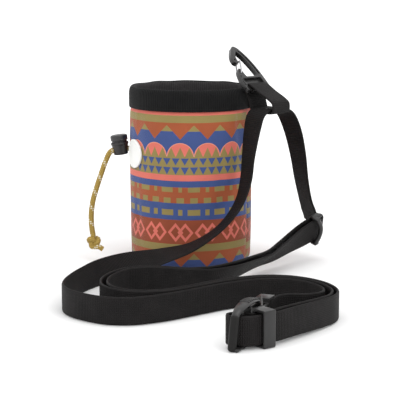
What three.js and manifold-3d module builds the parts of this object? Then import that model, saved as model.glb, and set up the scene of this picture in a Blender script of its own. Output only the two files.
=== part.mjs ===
// A round treat pouch that stands on its base, with its belt laid out on edge in front of it.
// Millimetres, +Z up. The origin is the middle of the pouch's base, and the belt lies towards -Y.

import * as THREE from 'three';
import { mergeVertices } from 'three/addons/utils/BufferGeometryUtils.js';
import Module from 'manifold-3d';

const wasm = await Module();
wasm.setup();

// Driving dimensions
const GAP = 0.3;
const POUCH = { radius: 51.2, top: 143.1, wall: 1.8, base: 2.4, corner: 5, neck: 126.6, sides: 48 };
const COLLAR = { radius: 51.7, cloth: 1.6, lower: 127.6, crest: 145.3, insideLower: 128.5 };
const PATCH = { radius: 11.8, thickness: 1.2, rim: 1.6, azimuth: -64, height: 91 };
const HANG_LOOP = { width: 14, height: 16.4, thickness: 1.9, azimuth: 77, bottom: 127.9 };
const CORD = { diameter: 4.5, sides: 10, steps: 28, knot: 5.9 };
const LOCK = { radius: 7.3, foot: 6, top: 6.2, bottom: -4.2, bore: 5, stem: 4.6, head: 7.1, travel: 1.4 };
const LOCK_POSE = { tilt: -7, turn: 9 };
const HOOK = { thickness: 4, bevel: 0.7, turn: 44, rise: 42.3, wire: 0.7, legApart: 6 };
const WEB = { width: 20, thickness: 1.8, step: 7, rest: 10.2, lift: 12.5 };
const BUCKLE = { height: 25, plate: 2.2, length: 62, heading: 67.5, depth: 10 };
const SLIDER = { rail: 2.2, bar: 1.6 };
const KEEPER = { length: 10, inside: 9.4, wall: 2.3 };

const HOOK_AT = new THREE.Vector3(51.2, -21.2, 148.7);
const WRAP_AT = new THREE.Vector3(64.1, -34.6, 129);
const LOCK_AT = new THREE.Vector3(-58.7, -6, 92.3);
const KNOT_AT = new THREE.Vector3(-81.2, -16, 15.5);
const BUCKLE_AT = new THREE.Vector3(30, -298, 0);
const KEEPER_AT = new THREE.Vector3(48.9, -283.3, 0);

// The cord's route, from the pouch's side through the lock and down to the knot
const CORD_ROUTE = [
  [-51.6, -4.9, 93.1], [-55.1, -5.4, 92.8], [-58.7, -6.0, 92.3], [-62.5, -6.6, 91.8],
  [-65.7, -7.1, 91.2], [-68.2, -7.8, 88.8], [-69.9, -8.6, 85.2], [-71.6, -9.5, 81.2],
  [-73.4, -10.6, 76.0], [-75.3, -11.8, 70.6], [-77.0, -13.0, 65.4], [-78.7, -14.0, 60.2],
  [-80.2, -15.0, 55.2], [-81.5, -15.6, 50.0], [-82.4, -16.0, 44.6], [-82.9, -16.0, 39.2],
  [-83.0, -16.0, 33.8], [-82.7, -16.0, 28.6], [-82.2, -16.0, 24.6], [-81.7, -16.0, 21.7],
].map((spot) => new THREE.Vector3(...spot));

const radians = THREE.MathUtils.degToRad;
const UP = new THREE.Vector3(0, 0, 1);
const object = new THREE.Group();

// Adds one named piece to a group
function addPiece(parent, name, geometry, finish) {
  const material = new THREE.MeshStandardMaterial(finish);
  const mesh = new THREE.Mesh(geometry, material);
  mesh.name = name;
  parent.add(mesh);
  return mesh;
}

const FINISH = {
  print: { color: 0xb45f3c, roughness: 0.75, metalness: 0 },
  webbing: { color: 0x161515, roughness: 0.85, metalness: 0 },
  patch: { color: 0xf2f0ea, roughness: 0.6, metalness: 0 },
  cord: { color: 0xb8963a, roughness: 0.8, metalness: 0 },
  plastic: { color: 0x222325, roughness: 0.45, metalness: 0 },
  steel: { color: 0xb9bcc0, roughness: 0.25, metalness: 1 },
};

// Closed-mesh helpers: shared vertices are merged, and faces are turned to point outwards
function closedMesh(geometry) {
  const bare = new THREE.BufferGeometry();
  bare.setAttribute('position', geometry.getAttribute('position').clone());
  if (geometry.index) bare.setIndex(geometry.index.clone());
  const merged = mergeVertices(bare, 1e-3);
  const spots = merged.getAttribute('position');
  const corners = Array.from(merged.index.array);
  const kept = [];
  let volume = 0;
  const [a, b, c] = [new THREE.Vector3(), new THREE.Vector3(), new THREE.Vector3()];
  for (let i = 0; i < corners.length; i += 3) {
    const [p, q, r] = corners.slice(i, i + 3);
    if (p === q || q === r || r === p) continue;
    kept.push([p, q, r]);
    a.fromBufferAttribute(spots, p);
    b.fromBufferAttribute(spots, q);
    c.fromBufferAttribute(spots, r);
    volume += a.dot(b.cross(c));
  }
  const turned = volume < 0 ? kept.map(([p, q, r]) => [p, r, q]) : kept;
  merged.setIndex(turned.flat());
  return merged;
}

function toSolid(geometry) {
  const mesh = closedMesh(geometry);
  return new wasm.Manifold(new wasm.Mesh({
    numProp: 3,
    vertProperties: new Float32Array(mesh.getAttribute('position').array),
    triVerts: new Uint32Array(mesh.index.array),
  }));
}

function toGeometry(solid) {
  const mesh = solid.getMesh();
  const geometry = new THREE.BufferGeometry();
  geometry.setAttribute('position', new THREE.BufferAttribute(new Float32Array(mesh.vertProperties), 3));
  geometry.setIndex(Array.from(mesh.triVerts));
  return geometry;
}

const join = (shapes) => shapes.map(toSolid).reduce((whole, next) => whole.add(next));
const carve = (solid, shapes) => shapes.map(toSolid).reduce((whole, next) => whole.subtract(next), solid);

// A box between two corners
function block(low, high) {
  const size = high.map((value, i) => value - low[i]);
  const middle = high.map((value, i) => (value + low[i]) / 2);
  return new THREE.BoxGeometry(...size).translate(...middle);
}

// A round bar from one point to another
function bar(from, to, radius, sides = 12) {
  const axis = to.clone().sub(from);
  const geometry = new THREE.CylinderGeometry(radius, radius, axis.length(), sides);
  const turn = new THREE.Quaternion().setFromUnitVectors(new THREE.Vector3(0, 1, 0), axis.clone().normalize());
  const middle = from.clone().add(to).multiplyScalar(0.5);
  return geometry.applyQuaternion(turn).translate(middle.x, middle.y, middle.z);
}

// Turns a profile of [radius, height] rows round the Z axis; azimuth 0 is the front
function turned(profile, sides) {
  const points = profile.map(([radius, height]) => new THREE.Vector2(radius, height));
  return new THREE.LatheGeometry(points, sides).rotateX(Math.PI / 2);
}

// How far the soft wall stands out at an azimuth and a height
function sag(azimuth, height) {
  const slack = Math.sin(Math.PI * THREE.MathUtils.clamp(height / POUCH.top, 0, 1));
  const oval = 0.25 * Math.cos(2 * azimuth + 0.6);
  const ripple = 0.35 * Math.sin(5 * azimuth + height / 26) * slack;
  return oval + ripple;
}

// Moves a turned shell's points in or out by the wall's sag
function soften(geometry) {
  const spots = geometry.getAttribute('position');
  for (let i = 0; i < spots.count; i += 1) {
    const [x, y, z] = [spots.getX(i), spots.getY(i), spots.getZ(i)];
    const radius = Math.hypot(x, y);
    if (radius < 1e-6) continue;
    const reach = THREE.MathUtils.smoothstep(z, 0, 2 * POUCH.corner);
    const grown = 1 + (reach * sag(Math.atan2(x, -y), z)) / radius;
    spots.setXY(i, x * grown, y * grown);
  }
  return geometry;
}

// Lays a flat piece on the pouch's side: x runs round it, y stands out from it, z is height
function layOnSide(geometry, azimuth, radius) {
  const spots = geometry.getAttribute('position');
  for (let i = 0; i < spots.count; i += 1) {
    const angle = radians(azimuth) + spots.getX(i) / radius;
    const height = spots.getZ(i);
    const reach = radius + spots.getY(i) + sag(angle, height);
    spots.setXYZ(i, reach * Math.sin(angle), -reach * Math.cos(angle), height);
  }
  return geometry;
}

// Pouch body, collar, patch and hang loop
const tuck = COLLAR.radius - COLLAR.cloth - GAP;

function bodyRadius(height) {
  const foot = Math.max(0, 1 - height / 32);
  return POUCH.radius - 0.9 * foot * foot;
}

function cornerArc(radius, floor, corner) {
  return [0, 30, 60, 90].map((angle) => [
    radius - corner + corner * Math.sin(radians(angle)),
    floor + corner - corner * Math.cos(radians(angle)),
  ]);
}

function pouchProfile() {
  const heights = [14, 26, 40, 55, 70, 85, 100, 113, 122];
  const outside = heights.map((z) => [bodyRadius(z), z]);
  const inside = heights.map((z) => [bodyRadius(z) - POUCH.wall, z]).reverse();
  const inner = tuck - POUCH.wall;
  return [
    [0, 0], [24, 0], ...cornerArc(bodyRadius(0), 0, POUCH.corner), ...outside,
    [POUCH.radius - 0.2, POUCH.neck - 1], [tuck, POUCH.neck + 0.5], [tuck, POUCH.top],
    [inner, POUCH.top], [inner, POUCH.neck], ...inside,
    ...cornerArc(bodyRadius(0) - POUCH.wall, POUCH.base, POUCH.corner).reverse(), [24, POUCH.base], [0, POUCH.base],
  ];
}

function collarProfile() {
  const outer = COLLAR.radius;
  const lap = tuck + GAP;
  const innerLap = tuck - POUCH.wall - GAP;
  const inner = innerLap - COLLAR.cloth;
  const roof = POUCH.top + GAP;
  const crown = (outer + inner) / 2;
  return [
    [lap, COLLAR.lower], [outer - 0.4, COLLAR.lower], [outer, COLLAR.lower + 0.7], [outer, 138],
    [outer - 0.3, COLLAR.crest - 2.6], [outer - 1.2, COLLAR.crest - 0.8], [crown, COLLAR.crest],
    [inner + 1.2, COLLAR.crest - 0.8], [inner + 0.3, COLLAR.crest - 2.6], [inner, 138],
    [inner, COLLAR.insideLower], [innerLap, COLLAR.insideLower], [innerLap, roof], [lap, roof],
    [lap, COLLAR.lower],
  ];
}

function patchShape() {
  const { radius, thickness, rim } = PATCH;
  const profile = [
    [0, 0], [6, 0], [radius, 0], [radius, thickness], [radius - 0.5, rim], [radius - 1.4, rim],
    [radius - 1.9, thickness], [6, thickness], [0, thickness],
  ].map(([across, out]) => new THREE.Vector2(across, out));
  const disc = new THREE.LatheGeometry(profile, 36).translate(0, 0, PATCH.height);
  return layOnSide(disc, PATCH.azimuth, POUCH.radius + GAP);
}

function hangLoopShape() {
  const { width, height, thickness, bottom } = HANG_LOOP;
  const strip = new THREE.BoxGeometry(width, thickness, height, 6, 1, 4);
  strip.translate(0, thickness / 2, bottom + height / 2);
  return layOnSide(strip, HANG_LOOP.azimuth, COLLAR.radius + GAP);
}

addPiece(object, 'pouch_body', closedMesh(soften(turned(pouchProfile(), POUCH.sides))), FINISH.print);
addPiece(object, 'rim_collar', closedMesh(soften(turned(collarProfile(), POUCH.sides))), FINISH.webbing);
addPiece(object, 'round_patch', closedMesh(patchShape()), FINISH.patch);
addPiece(object, 'hang_loop', closedMesh(hangLoopShape()), FINISH.webbing);

// Draw cord, its knot and its lock
function cordShape() {
  const section = new THREE.Shape();
  section.absarc(0, 0, CORD.diameter / 2, 0, 2 * Math.PI);
  return new THREE.ExtrudeGeometry(section, {
    steps: CORD.steps,
    curveSegments: CORD.sides / 2,
    extrudePath: new THREE.CatmullRomCurve3(CORD_ROUTE, false, 'centripetal'),
  });
}

function knotShape() {
  const lump = new THREE.SphereGeometry(CORD.knot, 14, 10).translate(...KNOT_AT.toArray());
  const tail = bar(KNOT_AT, KNOT_AT.clone().add(new THREE.Vector3(7.6, -2, -5.8)), CORD.diameter / 2, CORD.sides);
  return toGeometry(join([lump, tail]));
}

const lock = new THREE.Group();
lock.position.copy(LOCK_AT);
lock.rotation.set(0, radians(LOCK_POSE.tilt), radians(LOCK_POSE.turn));
object.add(lock);

const alongLock = (height) => new THREE.Vector3(0, 0, height);
const acrossLock = (reach) => new THREE.Vector3(reach, 0, 0);

function lockBarrel() {
  const bore = CORD.diameter / 2 + GAP + 0.1;
  const taper = [
    [0, LOCK.bottom], [LOCK.foot - 0.6, LOCK.bottom], [LOCK.foot, LOCK.bottom + 0.7],
    [LOCK.radius, LOCK.top - 0.6], [LOCK.radius - 0.4, LOCK.top], [0, LOCK.top],
  ];
  return toGeometry(carve(toSolid(turned(taper, 24)), [
    bar(alongLock(LOCK.bottom + 1.3), alongLock(LOCK.top + 1), LOCK.bore, 24),
    bar(acrossLock(-10), acrossLock(10), bore, 16),
  ]));
}

// The button's stem is forked, so that it clears the cord all the way down
function lockButton() {
  const fork = CORD.diameter / 2 + GAP + 0.1;
  const headBottom = LOCK.top + LOCK.travel + GAP;
  const stemBottom = LOCK.bottom + 1.3 + LOCK.travel + GAP;
  const dome = [[0, 0], [LOCK.head, 0], [LOCK.head, 3], [LOCK.head - 0.5, 3.9], [LOCK.head - 2, 4.4], [0, 4.6]];
  const head = turned(dome, 24).translate(0, 0, headBottom);
  const whole = join([bar(alongLock(stemBottom), alongLock(headBottom + 1), LOCK.stem, 24), head]);
  return toGeometry(carve(whole, [
    block([-8, -fork, stemBottom - 1], [8, fork, fork + LOCK.travel]),
  ]));
}

addPiece(object, 'draw_cord', closedMesh(cordShape()), FINISH.cord);
addPiece(object, 'cord_knot', knotShape(), FINISH.cord);
addPiece(lock, 'cord_lock_barrel', lockBarrel(), FINISH.plastic);
addPiece(lock, 'cord_lock_button', lockButton(), FINISH.plastic);

// Snap hook, in its own plane: x across the strap slot, y along the hook, z through it
const hook = new THREE.Group();
hook.position.copy(HOOK_AT);
hook.rotation.set(radians(HOOK.rise), 0, radians(HOOK.turn), 'ZYX');
object.add(hook);

const GATE_PIVOT = new THREE.Vector3(-8, 10.4, 0);
const GATE_TIP = new THREE.Vector3(-1.4, 21.6, 0);

function hookShape() {
  const outline = new THREE.Shape();
  outline.moveTo(-10.5, -8.6);
  outline.lineTo(10.5, -8.6);
  outline.quadraticCurveTo(13.6, -8.6, 13.7, -5);
  outline.bezierCurveTo(14.4, 12, 14, 24, 8.8, 36);
  outline.bezierCurveTo(6.6, 40.6, 3.4, 41, 1.2, 38.2);
  outline.bezierCurveTo(-3, 33, -6.4, 29, -6.4, 24.6);
  outline.quadraticCurveTo(-6.2, 21.8, -4.4, 21.4);
  outline.quadraticCurveTo(-2.4, 21.2, -1.8, 23.8);
  outline.bezierCurveTo(-1.8, 28, 0.8, 32, 3.6, 34);
  outline.bezierCurveTo(6.2, 33, 9.2, 22, 9.6, 10);
  outline.quadraticCurveTo(9.6, 6.2, 6.6, 6.2);
  outline.lineTo(-4.2, 6.2);
  outline.quadraticCurveTo(-5, 8, -5, 13.4);
  outline.quadraticCurveTo(-5.8, 16, -7.6, 15.2);
  outline.bezierCurveTo(-10.6, 12.6, -13.4, 4, -13.7, -5);
  outline.quadraticCurveTo(-13.6, -8.6, -10.5, -8.6);
  const slot = new THREE.Path();
  slot.moveTo(-10.4, -4.4);
  slot.lineTo(-10.4, 2.7);
  slot.lineTo(10.4, 2.7);
  slot.lineTo(10.4, -4.4);
  slot.closePath();
  outline.holes.push(slot);
  const flat = HOOK.thickness - 2 * HOOK.bevel;
  const plate = new THREE.ExtrudeGeometry(outline, {
    depth: flat, curveSegments: 6, bevelThickness: HOOK.bevel, bevelSize: HOOK.bevel, bevelOffset: -HOOK.bevel,
    bevelSegments: 1,
  }).translate(0, 0, -flat / 2);
  const through = new THREE.Vector3(0, 0, HOOK.thickness);
  const pivotHole = bar(GATE_PIVOT.clone().sub(through), GATE_PIVOT.clone().add(through), HOOK.wire + GAP, 12);
  return toGeometry(carve(toSolid(plate), [pivotHole]));
}

// The gate is one closed loop of wire: two legs, the pin in the hook and the bar behind the nose
function gateShape() {
  const side = new THREE.Vector3(0, 0, HOOK.legApart / 2);
  const corners = [
    GATE_PIVOT.clone().sub(side), GATE_PIVOT.clone().add(side), GATE_TIP.clone().add(side), GATE_TIP.clone().sub(side),
  ];
  const shapes = corners.flatMap((corner, i) => [
    bar(corner, corners[(i + 1) % corners.length], HOOK.wire, 8),
    new THREE.SphereGeometry(HOOK.wire * 1.02, 8, 6).translate(...corner.toArray()),
  ]);
  return toGeometry(join(shapes));
}

addPiece(hook, 'carabiner_body', hookShape(), FINISH.plastic);
addPiece(hook, 'carabiner_gate', gateShape(), FINISH.steel);

// Webbing: a flat strap swept along rows of a place and the direction of its width.
// lean is the width's angle from upright, and turn is the way it leans (0 is +X, 90 is +Y).
function widthOf(lean, turn) {
  const flat = Math.sin(radians(lean));
  return new THREE.Vector3(flat * Math.cos(radians(turn)), flat * Math.sin(radians(turn)), Math.cos(radians(lean)));
}

function stationsOf(rows, closed = false) {
  const places = rows.map(({ x, y, z = WEB.rest }) => new THREE.Vector3(x, y, z));
  const widths = rows.map(({ lean = 0, turn = 90 }) => widthOf(lean, turn));
  const route = new THREE.CatmullRomCurve3(places, closed, 'centripetal');
  const across = new THREE.CatmullRomCurve3(widths, closed, 'catmullrom', 0.5);
  const spans = closed ? rows.length : rows.length - 1;
  const stations = [];
  for (let span = 0; span < spans; span += 1) {
    const length = places[span].distanceTo(places[(span + 1) % rows.length]);
    const parts = Math.max(2, Math.ceil(length / WEB.step));
    for (let part = 0; part < parts; part += 1) stations.push((span + part / parts) / spans);
  }
  if (!closed) stations.push(1);
  return stations.map((t) => {
    const forward = route.getTangent(t);
    const width = across.getPoint(t);
    width.addScaledVector(forward, -width.dot(forward)).normalize();
    const row = Math.min(spans - 1, Math.floor(t * spans));
    const next = rows[(row + 1) % rows.length];
    const apart = THREE.MathUtils.lerp(rows[row].apart ?? 0, next.apart ?? 0, t * spans - row);
    return { place: route.getPoint(t), forward, width, face: forward.clone().cross(width), apart };
  });
}

function strapShape(stations, closed = false) {
  const corners = [];
  const halfWidth = WEB.width / 2;
  const halfThick = WEB.thickness / 2;
  for (const { place, width, face } of stations) {
    for (const [across, out] of [[-1, -1], [1, -1], [1, 1], [-1, 1]]) {
      const corner = place.clone().addScaledVector(width, across * halfWidth).addScaledVector(face, out * halfThick);
      corners.push(...corner.toArray());
    }
  }
  const faces = [];
  const count = stations.length;
  for (let i = 0; i < (closed ? count : count - 1); i += 1) {
    for (let side = 0; side < 4; side += 1) {
      const [a, b] = [4 * i + side, 4 * i + ((side + 1) % 4)];
      const next = 4 * ((i + 1) % count);
      const [c, d] = [next + side, next + ((side + 1) % 4)];
      faces.push(a, b, d, a, d, c);
    }
  }
  if (!closed) {
    const last = 4 * (count - 1);
    faces.push(0, 2, 1, 0, 3, 2, last, last + 1, last + 2, last, last + 2, last + 3);
  }
  const geometry = new THREE.BufferGeometry();
  geometry.setAttribute('position', new THREE.Float32BufferAttribute(corners, 3));
  geometry.setIndex(faces);
  return closedMesh(geometry);
}

// Hook tab: a sewn loop round the hook's lower bar and round the belt, seen along the strap slot.
// back runs from the belt towards the hook, and up is height above the belt.
const TAB_LOOP = [
  { back: -11.6, up: -1.6 }, { back: -12.4, up: 1.4 }, { back: -11.8, up: 5.4 }, { back: -7.6, up: 8.4 },
  { back: 3, up: 13.6 }, { back: 11.2, up: 18.2 }, { back: 15.4, up: 19.4 }, { back: 18.4, up: 16.6 },
  { back: 17.6, up: 12.4 }, { back: 14.4, up: 6.6 }, { back: 12.6, up: 1.2 }, { back: 11, up: -1.9 },
  { back: 6, up: -2.4 }, { back: -6, up: -2.4 },
];

function tabRows() {
  const back = widthOf(90, HOOK.turn + 90);
  return TAB_LOOP.map((row) => {
    const spot = WRAP_AT.clone().addScaledVector(back, row.back).addScaledVector(UP, row.up);
    return { x: spot.x, y: spot.y, z: spot.z, lean: 90, turn: HOOK.turn };
  });
}

// A place in the buckle's own frame: along it from its front bar, and across it to the left
function buckleSpot(along, across) {
  const heading = radians(BUCKLE.heading);
  return {
    x: BUCKLE_AT.x + along * Math.cos(heading) - across * Math.sin(heading),
    y: BUCKLE_AT.y + along * Math.sin(heading) + across * Math.cos(heading),
    z: WEB.lift,
  };
}

// Left arm: from the hook's tab, over the pouch's front and round to the buckle's rear half
const LEFT_ARM = [
  { x: 63.95, y: -34.75, z: 129, lean: 90, turn: 134 },
  { x: 57, y: -41.4, z: 129, lean: 90, turn: 134 },
  { x: 52.6, y: -44.2, z: 125, lean: 90, turn: 132 },
  { x: 49.6, y: -46, z: 113.5, lean: 93, turn: 128 },
  { x: 46.6, y: -47.6, z: 92, lean: 95, turn: 118 },
  { x: 44.6, y: -50.4, z: 73, lean: 94, turn: 114 },
  { x: 41, y: -54, z: 59.8, lean: 97, turn: 110 },
  { x: 34.4, y: -58.6, z: 48, lean: 98, turn: 109 },
  { x: 22.2, y: -63.6, z: 35, lean: 95, turn: 105 },
  { x: 0.8, y: -68, z: 21.8, lean: 84, turn: 103 },
  { x: -22.4, y: -72, z: 15.4, lean: 66, turn: 106 },
  { x: -46, y: -83, z: 12.2, lean: 42, turn: 118 },
  { x: -69, y: -109, z: 10.6, lean: 14, turn: 140 },
  { x: -81, y: -134 }, { x: -87, y: -155 }, { x: -90.5, y: -176 }, { x: -90, y: -192 },
  { x: -84, y: -207 }, { x: -71, y: -221 }, { x: -55, y: -230.5 }, { x: -38, y: -231 }, { x: -17, y: -221 },
  { x: 2, y: -206 }, { x: 24, y: -188 }, { x: 44, y: -176 }, { x: 58, y: -172 }, { x: 71, y: -173.5 },
  { x: 83, y: -181 }, { x: 91.5, y: -193 }, { x: 94.5, y: -208, z: 10.4 }, { x: 90, y: -220.5, z: 11.2 },
  { x: 79, y: -228.5, z: 12 }, { x: 68, y: -230, z: WEB.lift },
  buckleSpot(69, -3.9), buckleSpot(62.5, -3.4), buckleSpot(57, -3.2), buckleSpot(54.9, -1.6),
  buckleSpot(54.9, 1.6), buckleSpot(57, 3.2), buckleSpot(62.5, 3.4), buckleSpot(69, 2.8),
];

// Right arm: from the hook's tab down to the slider, where it ends behind the doubled strap
const RIGHT_ARM = [
  { x: 64.25, y: -34.45, z: 129, lean: 90, turn: 134 },
  { x: 71.2, y: -27.8, z: 129, lean: 90, turn: 134 },
  { x: 77.6, y: -21.4, z: 124, lean: 93, turn: 133 },
  { x: 83.6, y: -17.4, z: 110.6, lean: 95, turn: 132 },
  { x: 88.5, y: -14.2, z: 90.4, lean: 96, turn: 126 },
  { x: 92.1, y: -11.4, z: 67.4, lean: 96, turn: 119 },
  { x: 95.7, y: -8.2, z: 51, lean: 94, turn: 116 },
  { x: 98.8, y: -4.2, z: 41.6, lean: 94, turn: 118 },
  { x: 100.5, y: -0.6, z: 35.5, lean: 94, turn: 119 },
  { x: 101.5, y: 2, z: 29, lean: 94, turn: 114 },
];

// Doubled stretch: from the slider along the floor to the buckle's front bars, and back beside itself.
// apart is the distance between the two layers.
const DOUBLED = [
  { x: 109.6, y: -13.9, z: 29.3, lean: 20, turn: -78, apart: 5 },
  { x: 96, y: -28, z: 24.4, lean: 20, turn: -78, apart: 5 },
  { x: 83, y: -42, z: 19.6, lean: 30, turn: -63, apart: 4.4 },
  { x: 71, y: -58, z: 15.4, lean: 38, turn: -48, apart: 4 },
  { x: 58, y: -78, z: 12.8, lean: 52, turn: -35, apart: 4 },
  { x: 45, y: -101, z: 12.4, lean: 47, turn: -33, apart: 4 },
  { x: 32, y: -123, z: 12, lean: 38, turn: -42, apart: 4 },
  { x: 17, y: -137, z: 10.6, lean: 20, turn: -68, apart: 4 },
  { x: -1, y: -140.5, apart: 4 }, { x: -18, y: -135.5, apart: 4 }, { x: -33, y: -133.5, apart: 4 },
  { x: -46, y: -140, apart: 4 }, { x: -55, y: -155, apart: 4.6 }, { x: -59, y: -172, apart: 5 },
  { x: -58, y: -188, apart: 4.8 }, { x: -51, y: -201, apart: 4.4 }, { x: -38, y: -209, apart: 4 },
  { x: -19, y: -207, apart: 4 }, { x: -1, y: -195, apart: 4 }, { x: 20, y: -177.5, apart: 4 },
  { x: 42, y: -165, apart: 4 }, { x: 58, y: -161, apart: 4 }, { x: 75, y: -164, apart: 4 },
  { x: 90, y: -174.5, apart: 4 }, { x: 100.5, y: -190.5, apart: 4 }, { x: 104.3, y: -209, apart: 4 },
  { x: 101, y: -224, z: 10.4, apart: 4 }, { x: 93.5, y: -237, z: 11, apart: 4.2 },
  { x: 83, y: -251.5, z: 11.8, apart: 5 }, { x: 70.5, y: -267, z: WEB.lift, apart: 6 },
  { x: 59, y: -279.5, z: WEB.lift, apart: 6.5 }, { x: 52.3, y: -284.7, z: WEB.lift, apart: 6.6 },
];
const BUCKLE_TURN = [
  buckleSpot(13.7, -11.5), buckleSpot(8.8, -7.2), buckleSpot(5.9, -1.8), buckleSpot(5.2, 3.4), buckleSpot(6.6, 7.6),
  buckleSpot(10.6, 9.4), buckleSpot(14.8, 7.2), buckleSpot(16.6, 2.6), buckleSpot(16.6, -2.2), buckleSpot(17.3, -5.9),
];

// The strap comes back beside itself and closes round the slider's end bar
function doubledStations() {
  const front = stationsOf([...DOUBLED, ...BUCKLE_TURN]);
  const straight = front.slice(0, front.length - 2 * BUCKLE_TURN.length);
  const back = straight.map(({ place, width, face, apart }) => ({
    place: place.clone().addScaledVector(face, apart), width, face: face.clone().negate(),
  }));
  const { place, forward, width, face, apart } = front[0];
  const middle = place.clone().addScaledVector(face, apart / 2);
  const sliderTurn = [30, 60, 90, 120, 150].map((angle) => {
    const out = face.clone().multiplyScalar(Math.cos(radians(angle)));
    out.addScaledVector(forward, -Math.sin(radians(angle)));
    return { place: middle.clone().addScaledVector(out, apart / 2), width, face: out.clone().negate() };
  });
  return [...front, ...back.reverse(), ...sliderTurn];
}
const doubled = doubledStations();

addPiece(object, 'carabiner_tab', strapShape(stationsOf(tabRows(), true), true), FINISH.webbing);
addPiece(object, 'belt_strap_left', strapShape(stationsOf(LEFT_ARM)), FINISH.webbing);
addPiece(object, 'belt_strap_right', strapShape(stationsOf(RIGHT_ARM)), FINISH.webbing);
addPiece(object, 'belt_strap_doubled', strapShape(doubled, true), FINISH.webbing);

// Buckle, fastened: x along it from its front bar, y across it, z up its width
const buckle = new THREE.Group();
buckle.position.copy(BUCKLE_AT);
buckle.rotation.z = radians(BUCKLE.heading);
object.add(buckle);

const upright = (along, across, height) => new THREE.Vector3(along, across, height);

function buckleFrontHalf() {
  const { height, plate } = BUCKLE;
  const rods = [{ along: 0, radius: 2.5 }, { along: 11.3, radius: 1.8 }];
  const shapes = rods.map(({ along, radius }) => bar(upright(along, 0, 0.2), upright(along, 0, height - 0.2), radius, 14));
  for (const low of [0, height - plate]) {
    shapes.push(block([-1.6, -3, low], [25, 3, low + plate]));
  }
  shapes.push(block([21.6, -2.6, 0], [26, 2.6, height]));
  shapes.push(block([25, -1.4, 10.8], [44, 1.4, 14.2]));
  for (const low of [3.3, height - 5.8]) shapes.push(block([25, -1.9, low], [46, 1.9, low + 2.5]));
  for (const low of [0, height - 3.6]) shapes.push(block([35.6, -2.6, low], [45.8, 2.6, low + 3.6]));
  return toGeometry(join(shapes));
}

function buckleRearHalf() {
  const { height, length, depth } = BUCKLE;
  const half = depth / 2;
  const shell = join([block([33, -half, 0.6], [length, half, height - 0.6])]);
  return toGeometry(carve(shell, [
    block([32, -3, 3], [49, 3, height - 3]),
    block([35.2, -3, -1], [46.4, 3, height + 1]),
    block([52.6, -half - 1, 2.1], [57.4, half + 1, height - 2.1]),
    block([57, 1.9, 2.1], [length + 1, half + 1, height - 2.1]),
    block([57, -half - 1, 2.1], [length + 1, -1.9, height - 2.1]),
  ]));
}

addPiece(buckle, 'buckle_male', buckleFrontHalf(), FINISH.plastic);
addPiece(buckle, 'buckle_female', buckleRearHalf(), FINISH.plastic);

// Keeper: a moulded loop round both layers of the doubled strap
const keeper = new THREE.Group();
keeper.position.copy(KEEPER_AT);
keeper.rotation.z = Math.atan2(0.61, 0.79);
object.add(keeper);

function keeperShape() {
  const { length, inside, wall } = KEEPER;
  const half = inside / 2;
  const top = WEB.lift + WEB.width / 2 + GAP;
  const shell = join([block([-length / 2, -half - wall, 0], [length / 2, half + wall, top + wall])]);
  return toGeometry(carve(shell, [block([-length, -half, WEB.lift - WEB.width / 2 - GAP], [length, half, top])]));
}

addPiece(keeper, 'strap_keeper', keeperShape(), FINISH.plastic);

// Slider, set on the doubled strap's end: x along the strap, y up its width, z out of its face
const slider = new THREE.Group();
const seat = doubled[0];
slider.applyMatrix4(new THREE.Matrix4().makeBasis(seat.forward, seat.width, seat.face).setPosition(seat.place));
object.add(slider);

function sliderShape() {
  const inner = WEB.width / 2 + GAP;
  const outer = inner + SLIDER.rail;
  const rods = [
    { along: 4, out: seat.apart / 2, radius: 1.25 },
    { along: 9.9, out: -3, radius: SLIDER.bar },
  ];
  const shapes = rods.map(({ along, out, radius }) => bar(
    new THREE.Vector3(along, -inner - 1, out), new THREE.Vector3(along, inner + 1, out), radius, 12,
  ));
  for (const [low, high] of [[-outer, -inner], [inner, outer]]) {
    shapes.push(block([2.2, low, -1.4], [11.6, high, seat.apart]), block([7.6, low, -4.6], [11.6, high, 1]));
  }
  return toGeometry(join(shapes));
}

addPiece(slider, 'strap_slider', sliderShape(), FINISH.plastic);

export default object;
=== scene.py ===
# %% [markdown]
# # A treat pouch with a webbing belt
# A round cloth pouch with a printed wall, a black ribbed collar, a draw cord with its lock,
# and a black belt that hangs from a snap hook and lies in loops in front.
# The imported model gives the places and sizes. Every piece here is made on that frame,
# in metres, with the pouch's base on the floor and its front towards -Y.

# %% Load the frame
import math
import bpy
from mathutils import Matrix, Vector, noise


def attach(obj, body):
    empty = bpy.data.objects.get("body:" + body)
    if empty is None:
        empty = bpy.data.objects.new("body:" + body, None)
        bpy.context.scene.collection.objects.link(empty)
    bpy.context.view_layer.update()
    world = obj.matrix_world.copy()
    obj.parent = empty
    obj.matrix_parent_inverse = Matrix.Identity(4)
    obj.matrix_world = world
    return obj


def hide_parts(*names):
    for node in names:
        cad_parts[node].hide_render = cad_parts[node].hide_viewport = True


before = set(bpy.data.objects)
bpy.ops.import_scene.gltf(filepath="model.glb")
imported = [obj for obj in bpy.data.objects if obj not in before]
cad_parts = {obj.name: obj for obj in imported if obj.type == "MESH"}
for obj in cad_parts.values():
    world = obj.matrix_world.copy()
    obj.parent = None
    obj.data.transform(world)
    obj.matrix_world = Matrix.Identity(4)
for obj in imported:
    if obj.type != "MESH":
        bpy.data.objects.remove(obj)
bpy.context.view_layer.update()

# %% [markdown]
# ## Camera
# The photograph is taken with a long lens from a little above, so the pouch's rim shows as a thin ellipse.
# A 128 mm lens on a 36 mm frame, 1.2 m away and tipped down by 9.65 degrees, gives the same outlines.

# %% Camera
bpy.ops.object.camera_add(location=(0.0076, -1.180, 0.249), rotation=(math.radians(80.35), 0, 0))
camera = bpy.context.object
camera.data.lens = 127.8
camera.data.sensor_width = 36
bpy.context.scene.camera = camera
print("camera at", [round(x, 3) for x in camera.location])

# %% [markdown]
# ## Working helpers
# Operators act on everything that is selected, so each step starts from an empty selection.
# `hold` takes one object in hand, and `mm` turns millimetres into Blender's metres.

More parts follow.
